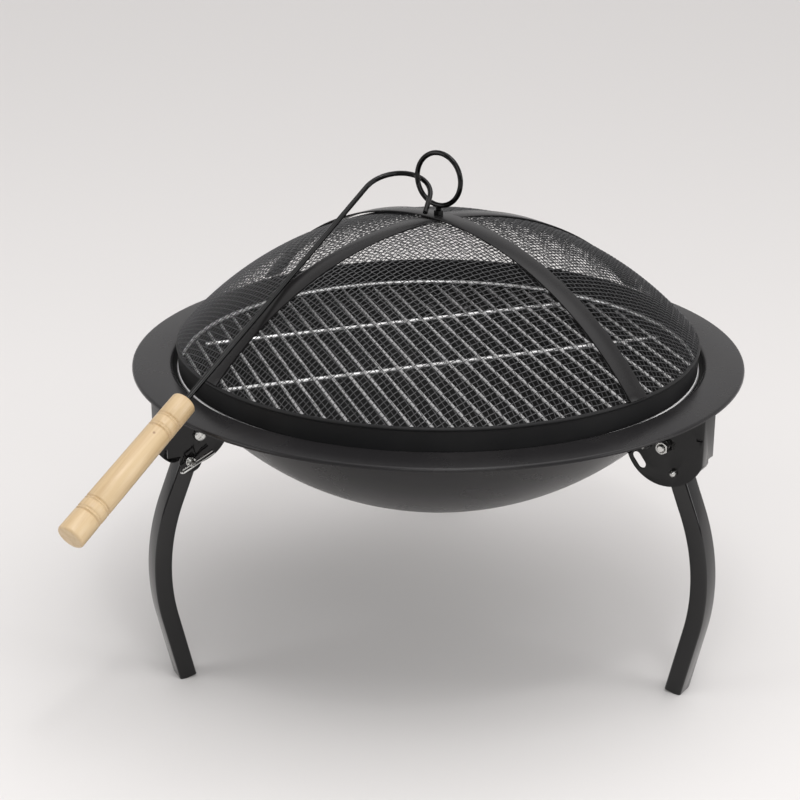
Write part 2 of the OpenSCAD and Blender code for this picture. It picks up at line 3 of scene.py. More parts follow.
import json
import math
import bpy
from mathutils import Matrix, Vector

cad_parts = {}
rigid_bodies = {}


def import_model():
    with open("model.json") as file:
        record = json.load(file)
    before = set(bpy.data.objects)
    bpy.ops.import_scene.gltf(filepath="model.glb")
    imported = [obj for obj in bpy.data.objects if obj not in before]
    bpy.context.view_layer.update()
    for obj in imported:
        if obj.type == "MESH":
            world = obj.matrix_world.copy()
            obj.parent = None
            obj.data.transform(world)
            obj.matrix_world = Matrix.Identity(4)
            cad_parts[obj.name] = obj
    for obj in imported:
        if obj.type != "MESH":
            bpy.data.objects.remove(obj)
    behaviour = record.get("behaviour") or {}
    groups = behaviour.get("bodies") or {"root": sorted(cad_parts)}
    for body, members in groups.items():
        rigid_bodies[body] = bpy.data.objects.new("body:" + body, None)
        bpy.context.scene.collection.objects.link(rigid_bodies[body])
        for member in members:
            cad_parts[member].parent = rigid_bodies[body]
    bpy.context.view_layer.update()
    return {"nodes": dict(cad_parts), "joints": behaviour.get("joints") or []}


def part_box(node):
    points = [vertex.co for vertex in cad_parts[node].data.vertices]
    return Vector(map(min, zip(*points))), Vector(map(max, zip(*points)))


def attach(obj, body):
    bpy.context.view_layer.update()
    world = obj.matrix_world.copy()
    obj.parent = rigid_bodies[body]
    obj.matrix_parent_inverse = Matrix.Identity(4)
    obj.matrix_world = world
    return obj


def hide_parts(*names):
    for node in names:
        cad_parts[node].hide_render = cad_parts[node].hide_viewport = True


bl_info = {
    "name": "Folding Fire Pit",
    "version": (1, 0, 0),
    "blender": (4, 5, 0),
    "location": "View3D > Sidebar > Fire Pit",
    "description": "Models a folding fire pit with its grid, spark lid and poker",
    "category": "Object",
}

import bpy
from bpy.props import FloatProperty, FloatVectorProperty, IntProperty, PointerProperty
from mathutils import Matrix, Vector

bpy.ops.object.select_all(action="SELECT")
bpy.ops.object.delete()
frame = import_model()
BOWL_LOW, BOWL_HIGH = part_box("fire_bowl")
RING_LOW, RING_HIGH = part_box("grid_ring")
ROD_LOW, ROD_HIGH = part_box("grid_rods")
BAR_LOW, BAR_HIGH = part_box("grid_bars")
BAND_LOW, BAND_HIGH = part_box("lid_band")
HANDLE_LOW, HANDLE_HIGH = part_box("ring_handle")
JOINTS = {joint["name"]: joint for joint in frame["joints"]}
SIDES = ("left", "right", "rear")
ALONG_Y = Vector((0, 1, 0))
UP = Vector((0, 0, 1))
QUARTER = math.pi / 2
MM = 0.001
RING_WIRE = RING_HIGH.z - RING_LOW.z
ROD_WIRE = ROD_HIGH.z - ROD_LOW.z
BAR_WIRE = BAR_HIGH.z - BAR_LOW.z
RIM_RADIUS = (RING_HIGH.x - RING_LOW.x - RING_WIRE) / 2  # of the grid's ring, the lid's band and the dome
SEAT_GAP = 0.05 * MM  # between pieces that are fastened to each other
REST_GAP = 0.3 * MM  # between pieces that rest on each other and lift apart
MESH_HALF = 0.4 * MM  # from the dome's middle to the outside of its mesh
MERGE = 1e-6  # points closer than this become one


def length(name, description, millimetres):
    """A size, given in millimetres and kept in metres."""
    return FloatProperty(
        name=name, description=description, default=millimetres * MM, unit="LENGTH", precision=5
    )


def turn(name, description, degrees):
    """An angle."""
    return FloatProperty(name=name, description=description, default=math.radians(degrees), subtype="ANGLE")


def tint(name, description, *colour):
    """A linear colour."""
    return FloatVectorProperty(
        name=name, description=description, default=colour, subtype="COLOR", min=0, max=1
    )


def spot(name, description, *place):
    """A place in metres."""
    return FloatVectorProperty(name=name, description=description, default=place, subtype="TRANSLATION")


def amount(name, description, default, unit="NONE"):
    """A number that isn't negative."""
    return FloatProperty(name=name, description=description, default=default, min=0, unit=unit)


class FirePitSizes(bpy.types.PropertyGroup):
    """Sizes of the visible pieces."""

    flange_radius: length("Flange radius", "Outer radius of the flange", BOWL_HIGH.x / MM)
    flange_top: length("Flange height", "Height of the flange's top", BOWL_HIGH.z / MM)
    bowl_bottom: length("Bowl bottom", "Height of the bowl's lowest point", BOWL_LOW.z / MM)
    mouth_radius: length("Mouth radius", "Radius of the bowl's mouth", 237.5)
    bowl_sheet: length("Bowl sheet", "Thickness of the bowl's sheet", 1)
    rod_pitch: length("Rod pitch", "Spacing of the grid's rods", 15.6)
    bar_step: length("Bar step", "Distance between the cross bars", 124)
    bar_turn: turn("Bar turn", "Turn of the cross bars in the bowl", 21)
    rod_turn: turn("Rod turn", "Turn of the rods in the bowl", 18.5)
    rod_pairs: IntProperty(name="Rod pairs", description="Rods at each side of the grid's middle", default=14)
    band_sheet: length("Band sheet", "Thickness of the lid's band", 1.2)
    band_edge: length("Band edge", "Thickness of the band's wired edge", 3.6)
    dome_rise: length("Dome rise", "Rise of the mesh dome above the band", 104)
    mesh_pitch: length("Mesh pitch", "Spacing of the woven wires", 5)
    mesh_wire: length("Mesh wire", "Diameter of the woven wires", 0.76)
    mesh_turn: turn("Mesh turn", "Direction of the woven wires", 34)
    strap_width: length("Strap width", "Width of the lid's straps", 20)
    strap_sheet: length("Strap sheet", "Thickness of the lid's straps", 1.5)
    strap_upper_turn: turn("Upper strap", "Direction of its front end", 44)
    strap_lower_turn: turn("Lower strap", "Direction of its front end", -54)
    ring_radius: length("Ring radius", "Radius of the ring handle", 23)
    ring_wire: length("Ring wire", "Wire of the ring handle", 4.5)
    ring_turn: turn("Ring turn", "Turn of the ring about its stem", -36)
    rod_diameter: length("Poker rod", "Diameter of the poker's rod", 4.5)
    rod_length: length("Rod length", "Straight length of the rod", 276)
    hook_radius: length("Hook radius", "Radius of the poker's hook", 30.4)
    hook_turn: turn("Hook turn", "How far the hook turns", 161.5)
    hook_tip: length("Hook tip", "Straight tip after the hook", 19)
    grip_length: length("Grip length", "Length of the wooden grip", 150)
    grip_diameter: length("Grip diameter", "Diameter of the grip at its butt", 23.4)
    grip_neck: length("Grip neck", "Diameter of the grip at the rod", 21.4)
    leg_width: length("Leg width", "Width of the leg's tube", 20)
    leg_depth: length("Leg depth", "Thickness of the leg's tube", 15.44)
    leg_shoulder: length("Leg shoulder", "Run from the pivot to the bend", 62.5)
    leg_bend: length("Leg bend", "Radius of the leg's bend", 183.5)
    leg_top_lean: turn("Leg top lean", "Lean of the leg's straight top", 22)
    leg_foot_lean: turn("Leg foot lean", "Lean of the leg's straight foot", 12.5)
    cheek_out: length("Cheek", "From the leg's middle to the outside of a cheek", 11.9)
    lock_reach: length("Lock pin place", "From the pivot to the lock pin", 24.2)
    screw_diameter: length("Screws", "Diameter of screws, bolts and lock pins", 6)
    nut_width: length("Nut width", "Width across the nuts' flats", 10)
    nut_height: length("Nut height", "Height of the nuts", 5)


class FirePitColours(bpy.types.PropertyGroup):
    """Colours of the finishes and the surround."""

    bowl_coat: tint("Bowl coat", "Satin coat of bowl and flange", 0.0145, 0.0138, 0.0145)
    # Darker and duller than the outer coat; only the bowl's inside takes it.
    darker_inside_coat: tint("Bowl inside", "Dull coat inside the bowl", 0.005, 0.005, 0.005)
    band_coat: tint("Band coat", "Coat of the lid's band", 0.012, 0.012, 0.0125)
    strap_coat: tint("Strap coat", "Coat of the straps", 0.008, 0.0076, 0.008)
    leg_coat: tint("Leg coat", "Coat of legs and brackets", 0.005, 0.0048, 0.005)
    mesh_coat: tint("Mesh coat", "Coat of the woven wires", 0.042, 0.042, 0.044)
    enamel: tint("Enamel", "Gloss enamel of ring and poker", 0.002, 0.002, 0.002)
    chrome: tint("Chrome", "Plate of the grid", 0.93, 0.93, 0.93)
    zinc: tint("Zinc", "Plate of screws, pins and clips", 0.56, 0.56, 0.545)
    wood_light: tint("Wood", "Pale wood of the grip", 0.56, 0.415, 0.24)
    wood_dark: tint("Wood grain", "Darker grain of the grip", 0.40, 0.26, 0.12)
    wood_knot: tint("Wood knots", "Brown of the grip's two knots", 0.20, 0.10, 0.04)
    floor: tint("Floor", "Pale floor", 0.69, 0.675, 0.665)
    surround: tint("Surround", "Surround that lights the scene", 0.955, 0.94, 0.94)


class FirePitStage(bpy.types.PropertyGroup):
    """Camera and light."""

    camera_place: spot("Camera", "Place of the camera", 0, -1.5172, 0.7941)
    camera_target: spot("Target", "Point that the camera looks at", -0.0334, 0, 0.2164)
    camera_lens: amount("Lens", "Focal length in millimetres", 81, "CAMERA")
    sky: amount("Surround", "Strength of the pale surround", 0.82)
    zenith: amount("Zenith", "Surround overhead as a share of its strength", 3.2)
    key: amount("Overhead", "Power of the overhead light", 11, "POWER")
    glint: amount("Glint", "Power of the small overhead light", 3, "POWER")
    front: amount("Front", "Power of the front light", 12, "POWER")
    left: amount("Left", "Power of the left light", 22, "POWER")
    right: amount("Right", "Power of the right light", 27, "POWER")


def settings(context):
    """The scene's sizes and colours."""
    return context.scene.firepit_sizes, context.scene.firepit_colours


# Small modelling helpers


def shift(x, y, z):
    """A move."""
    return Matrix.Translation((x, y, z))


def rotation(angle, axis):
    """A turn about an axis through the origin."""
    return Matrix.Rotation(angle, 4, axis)


def deselect():
    """Leaves edit mode with nothing selected."""
    if bpy.context.mode != "OBJECT":
        bpy.ops.object.mode_set(mode="OBJECT")
    bpy.ops.object.select_all(action="DESELECT")


def pick(piece):
    """Makes piece the only selected object."""
    deselect()
    piece.select_set(True)
    bpy.context.view_layer.objects.active = piece


def edit(piece):
    """Opens piece in edit mode with all of it selected."""
    pick(piece)
    bpy.ops.object.mode_set(mode="EDIT")
    bpy.ops.mesh.select_all(action="SELECT")


def tidy():
    """Merges doubles and turns all faces outwards, then leaves edit mode."""
    bpy.ops.mesh.select_all(action="SELECT")
    bpy.ops.mesh.remove_doubles(threshold=MERGE)
    bpy.ops.mesh.normals_make_consistent(inside=False)
    bpy.ops.object.mode_set(mode="OBJECT")


def added(name):
    """Names the object that an operator has just added."""
    piece = bpy.context.object
    piece.name = name
    return piece


def modify(piece, kind, **options):
    """Adds a modifier and applies it."""
    pick(piece)
    modifier = piece.modifiers.new(kind.title(), kind)
    for key, value in options.items():
        setattr(modifier, key, value)
    bpy.ops.object.modifier_apply(modifier=modifier.name)


def thicken(piece, sheet):
    """Gives a surface a sheet's thickness, half on each side."""
    modify(piece, "SOLIDIFY", thickness=sheet, offset=0, use_even_offset=True)


def round_edges(piece, width):
    """Rounds the edges where faces meet at a corner."""
    modify(piece, "BEVEL", width=width, segments=2, limit_method="ANGLE", angle_limit=math.radians(40))


def cut(piece, tool, operation="DIFFERENCE"):
    """Cuts piece with a tool, or unites or intersects them, and removes the tool."""
    modify(piece, "BOOLEAN", object=tool, operation=operation, solver="EXACT")
    bpy.data.objects.remove(tool)


def place(piece, matrix):
    """Moves piece by matrix and puts the move into its mesh."""
    pick(piece)
    piece.matrix_world = matrix @ piece.matrix_world
    bpy.ops.object.transform_apply(location=True, rotation=True, scale=True)


def twin(piece, name):
    """A copy of piece with its own mesh."""
    pick(piece)
    bpy.ops.object.duplicate()
    return added(name)


def join(name, pieces):
    """Joins pieces into one object."""
    deselect()
    for piece in pieces:
        piece.select_set(True)
    bpy.context.view_layer.objects.active = pieces[0]
    bpy.ops.object.join()
    pieces[0].name = name
    return pieces[0]


def line(name, points, closed=False):
    """Extrudes one vertex from point to point and stays in edit mode with all of it selected."""
    deselect()
    bpy.ops.mesh.primitive_plane_add(size=1 * MM)
    piece = added(name)
    edit(piece)
    bpy.ops.mesh.merge(type="CENTER")
    route = [Vector(point) for point in points]
    bpy.ops.transform.translate(value=route[0])
    if closed:
        route.append(route[0])
    for start, end in zip(route, route[1:]):
        draw_out(end - start)
    bpy.ops.mesh.select_all(action="SELECT")
    return piece


def draw_out(move):
    """Extrudes what is selected along move."""
    bpy.ops.mesh.extrude_region_move(TRANSFORM_OT_translate={"value": Vector(move)})


def sweep(angle, centre, axis, steps):
    """Extrudes what is selected round an axis, right-handed; the spin operator itself turns the other way."""
    bpy.ops.mesh.spin(steps=steps, angle=-angle, center=centre, axis=axis)


def lathe(name, outline, steps, closed=False):
    """Spins an outline of radius and height about the upright axis."""
    piece = line(name, [(r, 0, z) for r, z in outline], closed)
    bpy.ops.mesh.remove_doubles(threshold=MERGE / 10)
    bpy.ops.mesh.spin(steps=steps, angle=math.tau, center=(0, 0, 0), axis=UP)
    tidy()
    return piece


def arc(centre, radius, start, end, steps):
    """Points of an arc in a flat outline, from start to end in degrees."""
    angles = [math.radians(start + (end - start) * i / steps) for i in range(steps + 1)]
    return [(centre[0] + radius * math.cos(a), centre[1] + radius * math.sin(a)) for a in angles]


def rectangle(name, width, depth):
    """A flat face at the origin."""
    deselect()
    bpy.ops.mesh.primitive_plane_add(size=1)
    piece = added(name)
    place(piece, Matrix.Diagonal((width, depth, 1, 1)))
    return piece


def disc(name, diameter, matrix, sides):
    """A filled round face at matrix, its normal along the matrix's z, open in edit mode."""
    deselect()
    bpy.ops.mesh.primitive_circle_add(vertices=sides, radius=diameter / 2, fill_type="NGON")
    piece = added(name)
    place(piece, matrix)
    edit(piece)
    return piece


def round_ends(width, segments=3):
    """Bevels the edges round the flat end faces of a swept piece."""
    bpy.ops.object.mode_set(mode="OBJECT")
    mesh = bpy.context.object.data
    ends = {key for face in mesh.polygons if len(face.vertices) > 4 for key in face.edge_keys}
    for edge in mesh.edges:
        edge.select = edge.key in ends
    bpy.ops.object.mode_set(mode="EDIT")
    bpy.ops.mesh.select_mode(type="EDGE")
    bpy.ops.mesh.bevel(offset=width, segments=segments, affect="EDGES")
    bpy.ops.mesh.select_mode(type="VERT")


def dressed_copy(node, rounding):
    """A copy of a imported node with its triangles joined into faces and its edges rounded."""
    piece = bpy.data.objects.new(f"{node}_piece", frame["nodes"][node].data.copy())
    bpy.context.scene.collection.objects.link(piece)
    edit(piece)
    bpy.ops.mesh.remove_doubles(threshold=MERGE)
    bpy.ops.mesh.dissolve_limited(angle_limit=math.radians(0.5))
    round_edges(piece, rounding)
    return piece


def hex_nut(name, width, height, bore):
    """A chamfered hexagon nut standing on the floor."""
    flat, corner = width / 2, width / math.sqrt(3)
    deselect()
    bpy.ops.mesh.primitive_cylinder_add(vertices=6, radius=corner, depth=height)
    nut = added(name)
    place(nut, shift(0, 0, height / 2))
    slope = corner - flat
    drop = slope * 1.2
    crown = [(0, 0), (flat, 0), (corner + slope, drop), (corner + slope, height - drop)]
    cut(nut, lathe("crown", crown + [(flat, height), (0, height)], steps=48), "INTERSECT")
    inner = bore / 2 + 0.1 * MM
    funnel = inner + 2 * MM
    drill = [(0, -MM), (funnel, -MM), (inner, MM), (inner, height - MM)]
    cut(nut, lathe("drill", drill + [(funnel, height + MM), (0, height + MM)], steps=32))
    return nut


def fit(piece, body, slot, material, *nodes, crease=35):
    """Gives a finished piece its shading, finish and body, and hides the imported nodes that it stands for."""
    pick(piece)
    bpy.ops.object.shade_smooth_by_angle(angle=math.radians(crease))
    piece.data.materials.clear()
    piece.data.materials.append(material)
    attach(piece, body)
    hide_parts(*nodes)


# Places that several pieces share


def leg_matrix(side):
    """The leg's own frame: x outwards from the bowl's axis, y along its pivot, z up."""
    along = Vector(JOINTS[f"leg_{side}_fold"]["axis"])
    return Matrix((along.cross(UP), along, UP)).transposed().to_4x4()


def pivot_place():
    """The pivot in the leg's own frame."""
    x, y, z = JOINTS["leg_right_fold"]["pos_m"]
    return Vector((math.hypot(x, y), 0, z))


def lean_down(angle):
    """The way down along a tube that leans outwards."""
    return Vector((math.sin(angle), 0, -math.cos(angle)))


def lean_out(angle):
    """The way out, square to a tube that leans outwards."""
    return Vector((math.cos(angle), 0, math.sin(angle)))


def bowl_sphere(sizes):
    """Radius and centre height of the bowl's outside."""
    depth = sizes.flange_top - sizes.bowl_bottom
    radius = (sizes.mouth_radius**2 + depth**2) / (2 * depth)
    return radius, sizes.bowl_bottom + radius


def dome_sphere(sizes):
    """Radius and centre height of the mesh dome, and the angle from its top to its rim."""
    radius = (RIM_RADIUS**2 + sizes.dome_rise**2) / (2 * sizes.dome_rise)
    centre = BAND_HIGH.z + sizes.dome_rise - radius
    return radius, centre, math.asin(RIM_RADIUS / radius)


def strap_seat(sizes):
    """Radius of the lower strap's underside."""
    return dome_sphere(sizes)[0] + MESH_HALF + SEAT_GAP


def ring_level(sizes):
    """Height of the ring handle's middle."""
    return HANDLE_HIGH.z - sizes.ring_radius - sizes.ring_wire / 2


def poker_matrix(sizes):
    """The poker's own frame: x along the rod to the hook, y to the side that the hook turns to."""
    centre = dome_sphere(sizes)[1]
    start = Vector((-63.5 * MM, 16.4 * MM, ring_level(sizes) - 11.9 * MM))
    heading, roll = math.radians(56.5), math.radians(188.2)
    along = start.x * math.cos(heading) + start.y * math.sin(heading)
    aside = start.y * math.cos(heading) - start.x * math.sin(heading)
    lean = strap_seat(sizes) + sizes.strap_sheet + sizes.rod_diameter / 2 + REST_GAP
    height = start.z - centre
    slope = math.atan2(height, along) - math.asin(math.sqrt(lean**2 - aside**2) / math.hypot(along, height))
    return shift(*start) @ rotation(heading, "Z") @ rotation(-slope, "Y") @ rotation(roll, "X")


# Finishes


def feed(tree, value, socket):
    """Links an output to a socket, or sets the socket's own value."""
    if isinstance(value, bpy.types.NodeSocket):
        tree.links.new(value, socket)
    else:
        socket.default_value = value


def add_node(tree, kind, inputs, output=0, **options):
    """Adds a shader node with its options and inputs, and returns one of its outputs."""
    node = tree.nodes.new(f"ShaderNode{kind}")
    for key, value in options.items():
        setattr(node, key, value)
    for key, value in inputs.items():
        feed(tree, value, node.inputs[key])
    return node.outputs[output]


def noise(tree, place_of, scale, detail, roughness, distortion=0.0):
    """A noise value at a place."""
    inputs = {"Vector": place_of, "Scale": scale, "Detail": detail, "Roughness": roughness}
    return add_node(tree, "TexNoise", {**inputs, "Distortion": distortion})


def spread(tree, value, start, end, low=0.0, high=1.0):
    """Spreads the stretch of a value from start to end over low to high."""
    inputs = {"Value": value, "From Min": start, "From Max": end, "To Min": low, "To Max": high}
    return add_node(tree, "MapRange", inputs)


def mix_colours(tree, factor, first, second):
    """A colour mix."""
    return add_node(tree, "Mix", {"Factor": factor, "A": first, "B": second}, "Result", data_type="RGBA")


def new_group(name, inputs):
    """A shader node group for a finish, with the sockets that give and take inside it."""
    tree = bpy.data.node_groups.new(name, "ShaderNodeTree")
    number, colour = "NodeSocketFloat", "NodeSocketColor"
    for label, value in inputs.items():
        kind = number if isinstance(value, float) else colour
        tree.interface.new_socket(label, in_out="INPUT", socket_type=kind).default_value = value
    for label, kind in (("Colour", colour), ("Roughness", number), ("Height", number)):
        tree.interface.new_socket(label, in_out="OUTPUT", socket_type=kind)
    return tree, tree.nodes.new("NodeGroupInput").outputs, tree.nodes.new("NodeGroupOutput").inputs


def coat_group():
    """Sprayed coat: fine orange peel, cloudy gloss and a little pale dust."""
    colours = {"Coat": (0.03, 0.03, 0.03, 1), "Dust": (0.12, 0.115, 0.11, 1)}
    numbers = {"Dust amount": 0.1, "Smooth": 0.35, "Dull": 0.5, "Grain": 900.0}
    tree, given, made = new_group("Sprayed coat", {**colours, **numbers})
    place_of = add_node(tree, "TexCoord", {}, "Object")
    peel = noise(tree, place_of, scale=given["Grain"], detail=2.0, roughness=0.6)
    cloud = noise(tree, place_of, scale=11.0, detail=5.0, roughness=0.62)
    specks = noise(tree, place_of, scale=420.0, detail=3.0, roughness=0.7)
    dusty = spread(tree, cloud, 0.45, 0.75)
    speckled = add_node(tree, "Math", {0: specks, 1: dusty, 2: dusty}, operation="MULTIPLY_ADD")
    factors = {0: speckled, 1: given["Dust amount"]}
    dust = add_node(tree, "Math", factors, operation="MULTIPLY", use_clamp=True)
    feed(tree, mix_colours(tree, dust, given["Coat"], given["Dust"]), made["Colour"])
    feed(tree, spread(tree, cloud, 0.3, 0.7, given["Smooth"], given["Dull"]), made["Roughness"])
    feed(tree, peel, made["Height"])
    return tree


def plate_group():
    """Plated metal: fine grain and cloudy stains."""
    colours = {"Plate": (0.8, 0.8, 0.8, 1), "Stain": (0.4, 0.39, 0.37, 1)}
    numbers = {"Smooth": 0.1, "Dull": 0.3, "Grain": 600.0}
    tree, given, made = new_group("Plated metal", {**colours, **numbers})
    place_of = add_node(tree, "TexCoord", {}, "Object")
    cloud = noise(tree, place_of, scale=45.0, detail=4.0, roughness=0.65)
    fine = noise(tree, place_of, scale=given["Grain"], detail=3.0, roughness=0.7)
    stained = spread(tree, cloud, 0.52, 0.8, high=0.6)
    feed(tree, mix_colours(tree, stained, given["Plate"], given["Stain"]), made["Colour"])
    feed(tree, spread(tree, cloud, 0.3, 0.7, given["Smooth"], given["Dull"]), made["Roughness"])
    feed(tree, fine, made["Height"])
    return tree


def rgba(colour):
    """A colour with full alpha."""
    return (*colour, 1)


def new_material(name, **values):
    """A material, its node tree and its shader's inputs, whose plain values are given by socket name."""
    material = bpy.data.materials.new(name)
    material.use_nodes = True
    shader = material.node_tree.nodes["Principled BSDF"].inputs
    for key, value in values.items():
        shader[key.replace("_", " ")].default_value = value
    return material, material.node_tree, shader


def dress(tree, shader, colour, roughness, height, strength, depth):
    """Feeds a shader its colour, its roughness and a relief."""
    relief = add_node(tree, "Bump", {"Strength": strength, "Distance": depth, "Height": height})
    for socket, value in (("Base Color", colour), ("Roughness", roughness), ("Normal", relief)):
        feed(tree, value, shader[socket])


def grouped_material(name, group, inputs, strength, depth, **values):
    """A material whose colour, roughness and relief come from one group."""
    if name in bpy.data.materials:
        return bpy.data.materials[name]
    material, tree, shader = new_material(name, **values)
    made = add_node(tree, "Group", inputs, node_tree=group).node.outputs
    dress(tree, shader, made["Colour"], made["Roughness"], made["Height"], strength, depth)
    return material


def coat(name, colour, smooth, dull, dust=0.1, grain=900.0, relief=0.12, shine=0.5):
    """A sprayed coat."""
    inputs = {"Coat": rgba(colour), "Dust amount": dust, "Smooth": smooth, "Dull": dull, "Grain": grain}
    group = bpy.data.node_groups.get("Sprayed coat") or coat_group()
    return grouped_material(name, group, inputs, relief, depth=0.15 * MM, Specular_IOR_Level=shine)


def plate(name, colour, smooth, dull):
    """A plated metal."""
    inputs = {"Plate": rgba(colour), "Smooth": smooth, "Dull": dull}
    group = bpy.data.node_groups.get("Plated metal") or plate_group()
    return grouped_material(name, group, inputs, strength=0.06, depth=0.1 * MM, Metallic=1.0)


def bowl_coat(colours):
    return coat("bowl_coat", colours.bowl_coat, 0.22, 0.32, dust=0.05, shine=0.22)


def bowl_inside(colours):
    return coat("bowl_inside", colours.darker_inside_coat, 0.55, 0.7, dust=0.02, shine=0.2)


def band_coat(colours):
    return coat("band_coat", colours.band_coat, 0.42, 0.55, dust=0.03, shine=0.17)


def strap_coat(colours):
    return coat("strap_coat", colours.strap_coat, 0.22, 0.32, dust=0.05, shine=0.23)


def bracket_coat(colours):
    return coat("bracket_coat", colours.leg_coat, 0.07, 0.13, dust=0.03, shine=0.31)


def leg_coat(colours):
    return coat("leg_coat", colours.leg_coat, 0.07, 0.13, dust=0.03, shine=0.44)


def mesh_coat(colours):
    return coat("mesh_coat", colours.mesh_coat, 0.34, 0.46, dust=0.08, relief=0.05)


def enamel(colours):
    return coat("gloss_enamel", colours.enamel, 0.05, 0.10, dust=0.005, grain=500.0, relief=0.03, shine=0.24)


def zinc_plate(colours):
    return plate("zinc_plate", colours.zinc, 0.18, 0.34)


def chrome_plate(colours):
    return plate("chrome_plate", colours.chrome, 0.36, 0.5)


def grip_wood(colours, matrix):
    """Pale varnished wood with two knots and its grain along the grip, whose frame is matrix."""
    material, tree, shader = new_material("grip_wood", Coat_Weight=0.25, Coat_Roughness=0.22)
    inverse = matrix.inverted()
    lie = {"Location": inverse.translation, "Rotation": inverse.to_euler()}
    along = add_node(tree, "Mapping", {"Vector": add_node(tree, "TexCoord", {}, "Object"), **lie})
    streaks = add_node(tree, "Mapping", {"Vector": along, "Scale": (9.0, 150.0, 150.0)})
    grain = noise(tree, streaks, scale=1.0, detail=6.0, roughness=0.62, distortion=0.35)
    threads = add_node(tree, "Mapping", {"Vector": along, "Scale": (60.0, 1500.0, 1500.0)})
    fibre = noise(tree, threads, scale=1.0, detail=3.0, roughness=0.6)
    light, dark, brown = rgba(colours.wood_light), rgba(colours.wood_dark), rgba(colours.wood_knot)
    colour = mix_colours(tree, spread(tree, grain, 0.42, 0.74, high=0.7), light, dark)
    colour = mix_colours(tree, spread(tree, fibre, 0.58, 0.8, high=0.4), colour, dark)
    for knot, size in (((-312.1, -2.1, -10.8), 1.1 * MM), ((-318.9, 4.1, -10.2), 1.4 * MM)):
        ends = {0: along, 1: Vector(knot) * MM}
        away = add_node(tree, "VectorMath", ends, "Value", operation="DISTANCE")
        colour = mix_colours(tree, spread(tree, away, size / 2, size, 0.75, 0.0), colour, brown)
    rough = spread(tree, fibre, 0.0, 1.0, 0.34, 0.52)
    dress(tree, shader, colour, rough, fibre, strength=0.18, depth=0.12 * MM)
    return material


# Pieces


class FIREPIT_OT_bowl(bpy.types.Operator):
    """Spin the pressed bowl with its rounded mouth, flat flange and turned-down lip"""

    bl_idname = "firepit.bowl"
    bl_label = "Bowl"

    def execute(self, context):
        sizes, colours = settings(context)
        radius, centre = bowl_sphere(sizes)
        half = sizes.bowl_sheet / 2
        wall = radius - half
        flat = sizes.flange_top - half
        edge = sizes.flange_radius - half
        mouth, lip, lip_height = 3.5 * MM, 1.8 * MM, 3 * MM
        bend = math.sqrt((wall + mouth) ** 2 - (centre - flat + mouth) ** 2)
        leave = math.degrees(math.atan2(bend, centre - flat + mouth))
        outline = arc((0, centre), wall, -90, leave - 90, steps=44)
        outline += arc((bend, flat - mouth), mouth, leave + 90, 90, steps=7)[1:]
        outline += arc((edge - lip, flat - lip), lip, 90, 0, steps=5)
        outline += [(edge, sizes.flange_top - lip_height)]
        bowl = lathe("fire_bowl_piece", outline, steps=192)
        thicken(bowl, sizes.bowl_sheet)
        fit(bowl, "stand", "black_coat", bowl_coat(colours), "fire_bowl")
        bowl.data.materials.append(bowl_inside(colours))
        # Inward faces below the mouth take the darker, duller inside coat.
        for face in bowl.data.polygons:
            inwards = Vector((0, 0, centre)) - face.center
            if face.normal.dot(inwards) > 0 and face.center.z < flat - mouth:
                face.material_index = 1
        return {"FINISHED"}


class FIREPIT_OT_brackets(bpy.types.Operator):
    """Round the edges of the bent leg brackets"""

    bl_idname = "firepit.brackets"
    bl_label = "Brackets"

    def execute(self, context):
        colours = context.scene.firepit_colours
        for side in SIDES:
            node = f"bracket_{side}"
            piece = dressed_copy(node, rounding=0.3 * MM)
            fit(piece, "stand", "black_coat", bracket_coat(colours), node)
        return {"FINISHED"}


def stand_on_floor(leg, sizes, foot_start, foot_down):
    """Cuts the foot square, with its outer edge ground flat on the floor."""
    ground = 1.2 * MM
    lean = sizes.leg_foot_lean
    drop = foot_start.z - sizes.leg_depth / 2 * math.sin(lean) + ground
    end = foot_start + foot_down * (drop / math.cos(lean))
    for point, normal in ((end, foot_down), (Vector((0, 0, 0)), -UP)):
        edit(leg)
        bpy.ops.mesh.bisect(plane_co=point, plane_no=normal, use_fill=True, clear_outer=True)
        tidy()
    round_edges(leg, width=0.5 * MM)


class FIREPIT_OT_legs(bpy.types.Operator):
    """Draw the curved tube legs out of one rounded section"""

    bl_idname = "firepit.legs"
    bl_label = "Legs"

    def execute(self, context):
        sizes, colours = settings(context)
        pivot = pivot_place()
        top, foot = sizes.leg_top_lean, sizes.leg_foot_lean
        down, outward, foot_down = lean_down(top), lean_out(top), lean_down(-foot)
        bend_centre = pivot + down * sizes.leg_shoulder - outward * sizes.leg_bend
        foot_start = bend_centre + lean_out(-foot) * sizes.leg_bend
        head, corner, spare = 8 * MM, 2 * MM, 5 * MM
        leg = rectangle("leg", sizes.leg_depth, sizes.leg_width)
        edit(leg)
        bpy.ops.mesh.bevel(offset=corner, segments=5, affect="VERTICES")
        axes = Matrix((outward, ALONG_Y, -down)).transposed().to_4x4()
        place(leg, shift(*(pivot - down * head)) @ axes)
        edit(leg)
        draw_out(down * (sizes.leg_shoulder + head))
        sweep(top + foot, bend_centre, ALONG_Y, steps=36)
        draw_out(foot_down * (foot_start.z / math.cos(foot) + spare))
        tidy()
        stand_on_floor(leg, sizes, foot_start, foot_down)
        for side in SIDES:
            piece = twin(leg, f"leg_{side}_piece")
            place(piece, leg_matrix(side))
            fit(piece, f"leg_{side}", "black_coat", leg_coat(colours), f"leg_{side}")
        bpy.data.objects.remove(leg)
        return {"FINISHED"}


def repeat(node, model, places, slot, material):
    """Sets one copy of a model at each place and joins them."""
    copies = []
    for matrix in places:
        copy = twin(model, f"{node}_copy")
        place(copy, matrix)
        copies.append(copy)
    bpy.data.objects.remove(model)
    fit(join(f"{node}_piece", copies), "stand", slot, material, node)


def common_nut(sizes, level):
    """A nut of the common size at some height."""
    nut = hex_nut("nut", sizes.nut_width, sizes.nut_height, sizes.screw_diameter)
    place(nut, shift(0, 0, level))
    return nut


